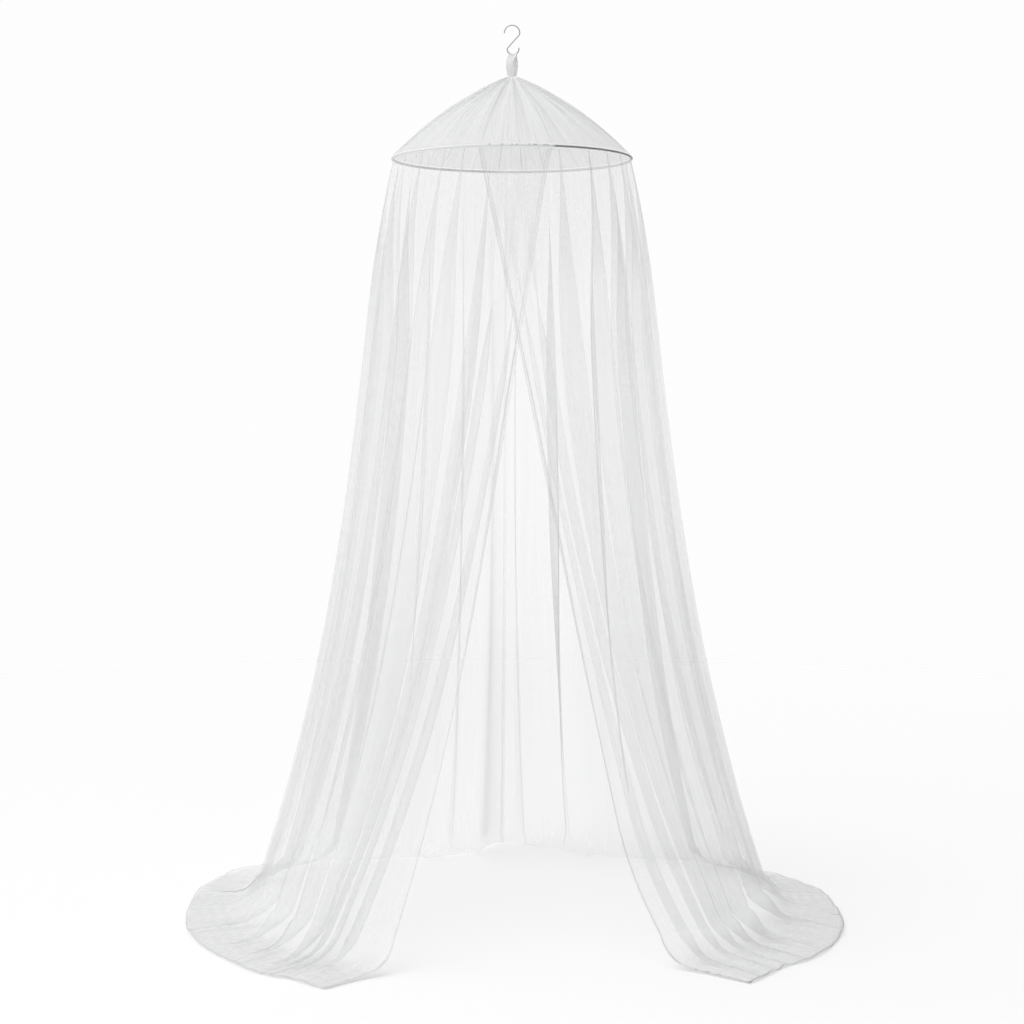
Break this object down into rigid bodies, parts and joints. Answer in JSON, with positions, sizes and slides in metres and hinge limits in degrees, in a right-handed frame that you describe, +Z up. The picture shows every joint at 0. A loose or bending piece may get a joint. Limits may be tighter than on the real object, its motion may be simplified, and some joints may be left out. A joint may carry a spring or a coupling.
{
  "type": "hoop bed canopy net with its hoop and hanging hook",
  "caption": "Sheer white bed canopy: a gathered cone over a round hoop, two long overlapping net curtains pooling on the floor, a fabric loop and an S-hook.",
  "frame": {"origin": "crest of the inner side of the hook's upper bend, where the canopy hangs", "axes": "+Z up, -Y out through the opening at the front, +X to the right seen from the front"},
  "size_m": [1.6617, 1.3857, 2.2377],
  "materials": {
    "net": "fine sheer white net, soft and matt",
    "tape": "white woven tape, matt",
    "steel": "bright plated wire",
    "wire": "pale coated spring wire"
  },
  "bodies": {
    "root": {"hook": "steel", "hanging_loop": "tape", "crown": "net", "hoop": "wire", "casing": "tape", "left_panel": "net", "right_panel": "net"}
  },
  "joints": []
}
